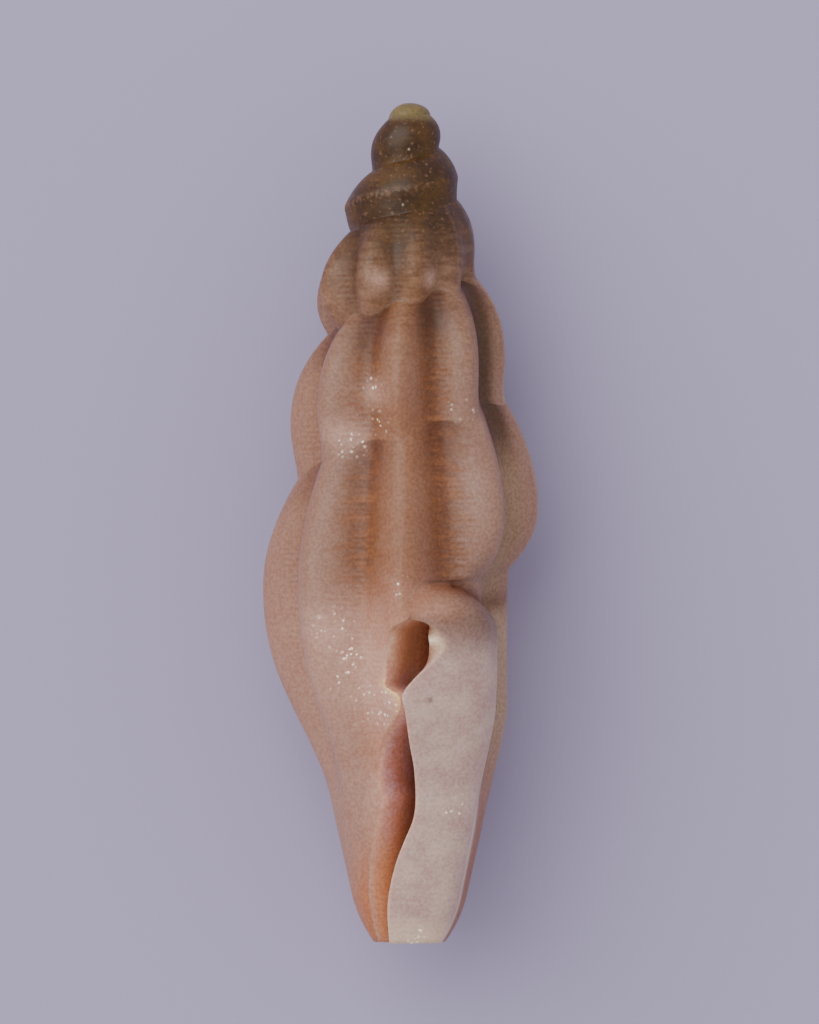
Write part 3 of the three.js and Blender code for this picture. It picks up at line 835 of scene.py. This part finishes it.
def shell_masks(facts):
    """What the material needs at each point, each from 0 to 1 unless a coordinate."""
    t, station, depth = facts[:, 0], facts[:, 1], facts[:, 2]
    inside = (depth >= 0) * 1.0
    outside = 1 - inside
    front = outside * (np.cos(angle_of(t)) > 0)
    side = np.sin(angle_of(t))
    across = side * last_radius(np.maximum(t, T_BODY), station)
    return {
        **rib_masks(t, station, outside),
        **lip_masks(t, station, side, outside),
        **aperture_masks(t, station, depth, across, inside),
        "sheen": front * spots(across, station, SHEENS),
        "dark_spot": front * spots(across, station, DARK_SPOTS),
        "glint": front * spots(across, station, GLINTS),
        "inside": inside,
        "depth": np.maximum(depth, 0),
        "station": station / 100,
        "side": side,
    }


def build_shell():
    sheet = Sheet()
    columns = spire(sheet, last_turn(sheet))
    apical_cap(sheet, columns)
    hollow(sheet, columns)
    mesh = bpy.data.meshes.new("shell_surface")
    mesh.from_pydata(sheet.points, [], sheet.faces)
    for name, values in shell_masks(np.array(sheet.facts)).items():
        attribute = mesh.attributes.new(name, "FLOAT", "POINT")
        attribute.data.foreach_set("value", np.asarray(values, np.float32))
    mesh.shade_smooth()
    shell = bpy.data.objects.new("shell_surface", mesh)
    bpy.context.scene.collection.objects.link(shell)
    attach(shell, "root")
    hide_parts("shell")
    return shell


class Nodes:
    """Short names for building a node material."""

    def __init__(self, name):
        self.material = bpy.data.materials.new(name)
        self.material.use_nodes = True
        self.tree = self.material.node_tree
        self.surface = self.tree.nodes["Principled BSDF"]

    def make(self, kind, **settings):
        node = self.tree.nodes.new(kind)
        for key, value in settings.items():
            setattr(node, key, value)
        return node

    def put(self, value, socket):
        if isinstance(value, bpy.types.NodeSocket):
            self.tree.links.new(value, socket)
        else:
            socket.default_value = value

    def attribute(self, name):
        return self.make("ShaderNodeAttribute", attribute_name=name).outputs["Fac"]

    def math(self, operation, a, b=0.0, clamp=False):
        node = self.make("ShaderNodeMath", operation=operation, use_clamp=clamp)
        self.put(a, node.inputs[0])
        self.put(b, node.inputs[1])
        return node.outputs[0]

    def mix(self, factor, a, b, blend="MIX"):
        node = self.make("ShaderNodeMix", data_type="RGBA", blend_type=blend)
        self.put(factor, node.inputs["Factor"])
        self.put(a, node.inputs[6])
        self.put(b, node.inputs[7])
        return node.outputs[2]

    def ramp(self, value, low, high, start=0.0, end=1.0):
        """Goes smoothly from start to end while the value goes from low to high."""
        node = self.make("ShaderNodeMapRange", interpolation_type="SMOOTHSTEP")
        self.put(value, node.inputs["Value"])
        node.inputs["From Min"].default_value = low
        node.inputs["From Max"].default_value = high
        node.inputs["To Min"].default_value = start
        node.inputs["To Max"].default_value = end
        return node.outputs["Result"]

    def tint(self, colour, name, share, new):
        """Lays a new colour over another, as far as an attribute says."""
        return self.mix(self.math("MULTIPLY", self.attribute(name), share), colour, new)

    def noise(self, place, scale, detail=3.0, stretch=(1, 1, 1)):
        """Cloudy noise round 0.5; it is finer along an axis that is stretched more."""
        mapping = self.make("ShaderNodeMapping")
        self.put(place, mapping.inputs["Vector"])
        mapping.inputs["Scale"].default_value = stretch
        node = self.make("ShaderNodeTexNoise")
        self.put(mapping.outputs["Vector"], node.inputs["Vector"])
        node.inputs["Scale"].default_value = scale
        node.inputs["Detail"].default_value = detail
        return node.outputs["Fac"]


def shell_coordinates(n):
    """Object coordinates in hundredths of the length."""
    scaled = n.make("ShaderNodeVectorMath", operation="SCALE")
    n.put(n.make("ShaderNodeTexCoord").outputs["Object"], scaled.inputs[0])
    scaled.inputs["Scale"].default_value = 1 / UNIT
    return scaled.outputs[0]


def whorl_colour(n, place):
    """Pinkish tan ribs, brown spaces with fine cross streaks, dark brown early whorls.

    In the material, station runs from 0 to 1 along the shell, and side from -1 to 1 across it.
    """
    station = n.attribute("station")
    side = n.attribute("side")
    cloud = n.noise(place, CLOUD_SCALE)
    streak = n.noise(place, STREAK_SCALE, 4.0, STREAK_STRETCH)
    mottle = n.noise(place, MOTTLE_SCALE)

    colour = n.mix(n.ramp(cloud, 0.35, 0.65), TAN, PALE_TAN)
    lower = n.ramp(station, 0.52, 0.66)
    colour = n.mix(n.math("MULTIPLY", lower, 0.75), colour, n.mix(mottle, PINK, CREAM))
    # Painted light: a tan-orange glow along the left margin, where light comes through the thin
    # edge of the shell.
    glow = n.ramp(side, -0.70, -0.98)
    colour = n.mix(n.math("MULTIPLY", glow, 0.40), colour, PAINTED_GLOW)
    colour = n.mix(n.ramp(side, 0.25, 0.55, 0.0, 0.75), colour, SIDE_TAN)
    colour = n.mix(n.ramp(side, -0.35, -0.65, 0.0, 0.55), colour, SIDE_TAN)

    upper = n.ramp(station, 0.14, 0.40, 0.85, 0.0)
    colour = n.mix(upper, colour, n.mix(n.ramp(streak, 0.4, 0.6), UPPER_BROWN, UPPER_TAN))
    brown = n.mix(n.ramp(streak, 0.38, 0.62), STREAK_DARK, STREAK_LIGHT)
    brown = n.mix(n.ramp(station, 0.22, 0.36, 0.85, 0.0), brown, UPPER_DARK)
    uneven = n.math("MULTIPLY", n.math("SUBTRACT", streak, 0.5), 0.9)
    soft = n.math("ADD", n.attribute("stripe"), uneven)
    stripe = n.math("MULTIPLY", n.ramp(soft, 0.28, 0.95), 0.85)
    left_fade = n.ramp(side, -0.95, -0.55, 0.35, 1.0)
    colour = n.mix(n.math("MULTIPLY", stripe, left_fade), colour, brown)
    # Painted shade in the spaces just below each suture.
    hanging = n.ramp(station, 0.28, 0.38, 0.85, 0.55)
    hanging = n.math("MULTIPLY", n.attribute("suture_shade"), hanging)
    colour = n.mix(hanging, colour, DARK_BROWN)
    # Darker brown spots at a few listed places on the upper whorls, uneven with the streaks.
    dark_spot = n.math("MULTIPLY", n.attribute("dark_spot"), n.ramp(streak, 0.3, 0.6, 0.45, 0.85))
    colour = n.mix(dark_spot, colour, UPPER_DARK)

    early = n.ramp(n.math("ADD", station, n.math("MULTIPLY", streak, 0.05)), 0.145, 0.27, 0.95, 0.0)
    colour = n.mix(early, colour, n.mix(n.ramp(mottle, 0.35, 0.65), EARLY_DARK, EARLY_BROWN))
    speck = n.math("MULTIPLY", n.ramp(n.noise(place, EARLY_SPECK_SCALE, 2.0), 0.60, 0.70), early)
    colour = n.mix(n.math("MULTIPLY", speck, 0.5), colour, UPPER_TAN)
    beads = n.ramp(n.noise(place, BEAD_SCALE, 2.0), 0.42, 0.62, 0.05, 0.55)
    colour = n.mix(n.math("MULTIPLY", n.attribute("keel"), beads), colour, UPPER_TAN)
    colour = n.mix(n.attribute("cap"), colour, CAP)

    # Painted shade in the spaces between the ribs on the right flank, lighter lower down.
    right = n.ramp(side, 0.60, 0.92)
    shaded = n.math("MULTIPLY", n.ramp(n.attribute("space"), 0.2, 0.8), right)
    shade = n.mix(n.ramp(station, 0.38, 0.46), SHADE, SHADE_LOW)
    colour = n.mix(n.math("MULTIPLY", shaded, 0.85), colour, shade)
    # Painted highlight: a thin bright line along the rib crests on the right flank, where light
    # comes through the edge of the rib.
    line = n.math("MULTIPLY", n.attribute("crest"), n.ramp(side, 0.62, 0.80))
    return n.mix(n.math("MULTIPLY", line, 0.35), colour, CREST_HIGHLIGHT), streak, mottle


def lip_colour(n, colour, place, mottle):
    """White lip with a painted shadow in the arc above it, brown flank partly painted shade, callus
    knob and canal.
    """
    # Painted shadow in the groove above the lip's shoulder.
    colour = n.tint(colour, "arch_shadow", 0.95, ARC_SHADOW)
    # The flank beside the lip: brown, with painted shade on its upper part, and the reddish brown
    # of the space before the lip lower down.
    flank = n.mix(n.ramp(n.attribute("station"), 0.70, 0.90), FLANK, FLANK_RED)
    colour = n.tint(colour, "flank", 0.85, flank)
    white = n.mix(n.ramp(mottle, 0.3, 0.7), LIP_PINK, LIP_WHITE)
    speck = n.ramp(n.noise(place, LIP_SPECK_SCALE, 2.0), 0.66, 0.74)
    white = n.mix(n.math("MULTIPLY", speck, 0.35), white, LIP_GREY)
    station = n.attribute("station")
    white = n.mix(n.ramp(station, 0.96, 0.995), white, LIP_END)
    # Painted highlight along the lip's right border.
    white = n.mix(n.attribute("lip_border_light"), white, LIP_BORDER_LIGHT)
    white = n.mix(n.ramp(station, 0.60, 0.68), LIP_TOP, white)
    white = n.tint(white, "speck", 0.9, DARK_BROWN)
    fade = n.ramp(station, 0.58, 0.66, 0.5, 1.0)
    colour = n.mix(n.math("MULTIPLY", n.attribute("lip"), fade), colour, white)
    colour = n.tint(colour, "slit_edge", 0.5, CREAM)
    colour = n.tint(colour, "canal", 0.8, CANAL)
    # Painted sheen: paler spots where light falls on the body and the whorls.
    colour = n.tint(colour, "sheen", 0.5, CREAM)
    colour = n.tint(colour, "callus", 0.5, CREAM)
    # Painted light along the upper edge of the callus knob, which is lit from behind.
    colour = n.mix(n.attribute("knob_edge_light"), colour, KNOB_EDGE_LIGHT)
    return n.tint(colour, "rim", 0.8, RIM)


def hollow_colour(n, colour, mottle):
    """Purple-grey at the inner lip, reddish brown further in where painted shade darkens it, orange
    towards the canal.
    """
    depth = n.attribute("depth")
    station = n.attribute("station")
    wall = n.mix(n.ramp(mottle, 0.35, 0.65), WALL_PURPLE, WALL_RED)
    wall = n.mix(n.ramp(station, 0.80, 0.92), wall, WALL_ORANGE)
    wall = n.mix(n.ramp(station, 0.70, 0.66), wall, HOLE)
    # Painted shade: darker deep in the hollow.
    deep = n.mix(n.ramp(station, 0.80, 0.92), DEEP_SHADE, DEEP_SHADE_ORANGE)
    wall = n.mix(n.ramp(depth, 0.25, 0.95), wall, deep)
    wall = n.mix(n.ramp(depth, 0.0, 0.22, 1.0, 0.0), wall, colour)
    return n.mix(n.attribute("inside"), colour, wall)


def sparkle_mask(n, place):
    """Painted glints: small bright points in patches, and a painted highlight on the rim of the
    notch.
    """
    cells = n.make("ShaderNodeTexVoronoi", feature="F1")
    n.put(place, cells.inputs["Vector"])
    cells.inputs["Scale"].default_value = SPARK_SCALE
    point = n.ramp(cells.outputs["Distance"], 0.36, 0.20)
    patchy = n.ramp(n.noise(place, SPARK_PATCH_SCALE, 2.0), 0.42, 0.55)
    point = n.math("MULTIPLY", point, patchy)
    sparkle = n.math("MULTIPLY", point, n.attribute("glint"), clamp=True)
    return n.math("ADD", sparkle, n.attribute("rim_light"), clamp=True)


def fine_relief(n, place, streak, mottle):
    """Spiral threads, strongest between the ribs, with a fine grain."""
    wave = n.make("ShaderNodeMath", operation="SINE")
    turns = 2 * math.pi * 100 / THREAD_SPACING
    n.put(n.math("MULTIPLY", n.attribute("station"), turns), wave.inputs[0])
    strength = n.ramp(n.attribute("space"), 0.15, 0.8, 0.06, 0.34)
    strength = n.math("ADD", strength, n.math("MULTIPLY", n.attribute("lip"), 0.10))
    strength = n.math("MULTIPLY", strength, n.ramp(mottle, 0.35, 0.65, 0.3, 1.0))
    threads = n.math("MULTIPLY", wave.outputs[0], strength)
    grain = n.noise(place, GRAIN_SCALE)
    relief = n.math("ADD", threads, n.math("MULTIPLY", grain, 0.8))
    relief = n.math("ADD", relief, n.math("MULTIPLY", streak, 0.5))
    bump = n.make("ShaderNodeBump")
    n.put(relief, bump.inputs["Height"])
    bump.inputs["Strength"].default_value = RELIEF_STRENGTH
    bump.inputs["Distance"].default_value = RELIEF_HEIGHT * UNIT
    return bump.outputs["Normal"]


def gloss(n, mottle):
    """Roughness: waxy, with a glassy rim and slicker spots where the shell glitters."""
    rough = n.ramp(mottle, 0.3, 0.7, 0.34, 0.52)
    rough = n.math("SUBTRACT", rough, n.math("MULTIPLY", n.attribute("rim"), 0.25))
    return n.math("SUBTRACT", rough, n.math("MULTIPLY", n.attribute("glint"), 0.12), clamp=True)


def shell_material():
    n = Nodes("shell")
    place = shell_coordinates(n)
    colour, streak, mottle = whorl_colour(n, place)
    colour = lip_colour(n, colour, place, mottle)
    colour = hollow_colour(n, colour, mottle)
    sparkle = sparkle_mask(n, place)
    # Painted glints, and the painted highlight on the rim of the notch.
    colour = n.mix(n.math("MULTIPLY", sparkle, 0.85), colour, SPARK)
    fine = n.ramp(n.noise(place, FINE_GRAIN_SCALE, 4.0), 0.3, 0.7)
    fine = n.mix(fine, GRAIN_DARK, GRAIN_LIGHT)
    colour = n.mix(0.55, colour, fine, blend="SOFT_LIGHT")
    n.put(colour, n.surface.inputs["Base Color"])

    n.put(gloss(n, mottle), n.surface.inputs["Roughness"])
    n.surface.inputs["Subsurface Weight"].default_value = SUBSURFACE
    n.surface.inputs["Subsurface Radius"].default_value = SUBSURFACE_COLOURS
    n.surface.inputs["Subsurface Scale"].default_value = SUBSURFACE_REACH * UNIT
    n.surface.inputs["Specular IOR Level"].default_value = SPECULAR

    # Painted glow: emission stands in for the light that the thin wall lets through into the
    # hollow, and brightens the painted glints.
    glow = n.math("MULTIPLY", n.attribute("inside"), HOLLOW_GLOW)
    glow = n.math("ADD", glow, n.math("MULTIPLY", sparkle, SPARK_GLOW))
    n.put(colour, n.surface.inputs["Emission Color"])
    n.put(glow, n.surface.inputs["Emission Strength"])
    # Too weak to light anything else, so it isn't sampled as a lamp, which is slow.
    n.material.cycles.emission_sampling = "NONE"

    n.put(fine_relief(n, place, streak, mottle), n.surface.inputs["Normal"])
    return n.material


def floor_and_light():
    """A plain pale floor and soft studio light, mostly from the upper left."""
    half = 0.2
    roughness = 0.8
    room_strength = 0.74
    window_size = 0.10
    window_power = 0.075
    window_place = (-0.044, 0.040, 0.070)
    mesh = bpy.data.meshes.new("floor")
    corners = [(-half, -half, 0), (half, -half, 0), (half, half, 0), (-half, half, 0)]
    mesh.from_pydata(corners, [], [(0, 1, 2, 3)])
    floor = bpy.data.objects.new("floor", mesh)
    bpy.context.scene.collection.objects.link(floor)
    n = Nodes("floor")
    n.surface.inputs["Base Color"].default_value = FLOOR
    n.surface.inputs["Roughness"].default_value = roughness
    mesh.materials.append(n.material)

    world = bpy.data.worlds.new("soft_room")
    bpy.context.scene.world = world
    world.use_nodes = True
    background = world.node_tree.nodes["Background"]
    background.inputs["Color"].default_value = ROOM
    background.inputs["Strength"].default_value = room_strength

    lamp = bpy.data.lights.new("window", "AREA")
    lamp.size = window_size
    lamp.energy = window_power
    light = bpy.data.objects.new("window", lamp)
    light.location = window_place
    aim = Vector((0, 0, 0)) - Vector(window_place)
    light.rotation_euler = aim.to_track_quat("-Z", "Y").to_euler()
    bpy.context.scene.collection.objects.link(light)


def camera():
    """Straight down on the shell, apex towards the top of the picture."""
    picture_height = 1024
    shell_height = 838
    middle_offset = 10
    view_height = SHELL_LENGTH * picture_height / shell_height
    distance = 0.05
    data = bpy.data.cameras.new("above")
    data.sensor_fit = "VERTICAL"
    data.sensor_height = 24
    data.lens = data.sensor_height * distance / view_height
    data.clip_start = 0.001
    data.clip_end = 1.0
    eye = bpy.data.objects.new("above", data)
    up = SHELL_LENGTH * middle_offset / shell_height
    eye.location = (0.0, up, distance + AXIS_HEIGHT * UNIT)
    eye.rotation_euler = (0, 0, 0)
    bpy.context.scene.collection.objects.link(eye)
    bpy.context.scene.camera = eye


shell = build_shell()
shell.data.materials.append(shell_material())
floor_and_light()
camera()
